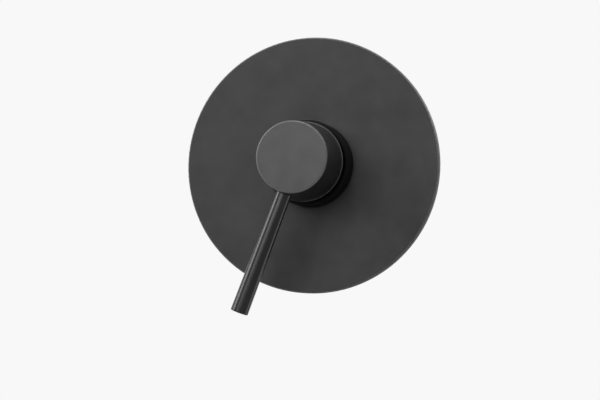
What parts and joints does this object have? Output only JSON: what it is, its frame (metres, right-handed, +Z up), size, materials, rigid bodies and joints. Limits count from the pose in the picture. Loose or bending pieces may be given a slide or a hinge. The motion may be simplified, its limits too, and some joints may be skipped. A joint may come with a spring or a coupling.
{
  "type": "wall-mounted shower mixer",
  "caption": "Concealed single-lever shower mixer: round wall plate, sleeve, tapered handle with pin lever, brass valve body and ceramic cartridge.",
  "frame": {"origin": "centre of the wall plate on the finished wall's surface", "axes": "+Z up along the wall, +Y into the wall, handle and lever on the -Y side"},
  "size_m": [0.15, 0.104, 0.1629],
  "materials": {
    "black_plate": "satin black",
    "black_handle": "satin black",
    "black_sleeve": "satin black",
    "black_plastic": "matt black",
    "brass_cast": "shot-blasted casting",
    "brass_turned": "turned",
    "white_plastic": "moulded",
    "yellow_plastic": "moulded",
    "red_plastic": "moulded",
    "seal_rubber": "moulded rubber",
    "foam": "closed-cell foam",
    "disc_ceramic": "lapped ceramic",
    "stainless": "ground"
  },
  "bodies": {
    "valve": {"face_plate": "black_plate", "plate_collar": "brass_turned", "collar_o_ring": "seal_rubber", "wall_seal": "foam", "cover_sleeve": "black_sleeve", "dome_cap": "black_plastic", "sleeve_o_ring": "seal_rubber", "mixer_body": "brass_cast", "cartridge_nut": "brass_turned", "cartridge_housing": "white_plastic", "cartridge_base": "white_plastic", "base_seals": "seal_rubber", "disc_gasket": "seal_rubber", "fixed_disc": "disc_ceramic", "temperature_stop_ring": "red_plastic"},
    "rotor": {"cartridge_rotor": "yellow_plastic", "rotor_o_ring": "seal_rubber", "pivot_pin": "stainless"},
    "lever": {"spindle": "brass_turned", "handle_hub": "black_handle", "grub_screw": "stainless", "lever_pin": "black_handle"},
    "shuttle": {"disc_carrier": "white_plastic", "moving_disc": "disc_ceramic"}
  },
  "joints": [
    {"name": "temperature_turn", "type": "hinge", "parent": "valve", "child": "rotor", "pos_m": [0, 0, 0], "axis": [0, 1, 0], "range_deg": [-71.2, 28.8]},
    {"name": "flow_lift", "type": "hinge", "parent": "rotor", "child": "lever", "pos_m": [0, -0.006, 0], "axis": [-0.9323, 0, 0.3616], "range_deg": [0, 18]},
    {"name": "disc_slide", "type": "slide", "parent": "rotor", "child": "shuttle", "axis": [-0.3616, 0, -0.9323], "range_m": [0, 0.00304]}
  ],
  "couplings": [
    {"joint": "disc_slide", "follows": "flow_lift", "m_per_rad": 0.00964}
  ]
}
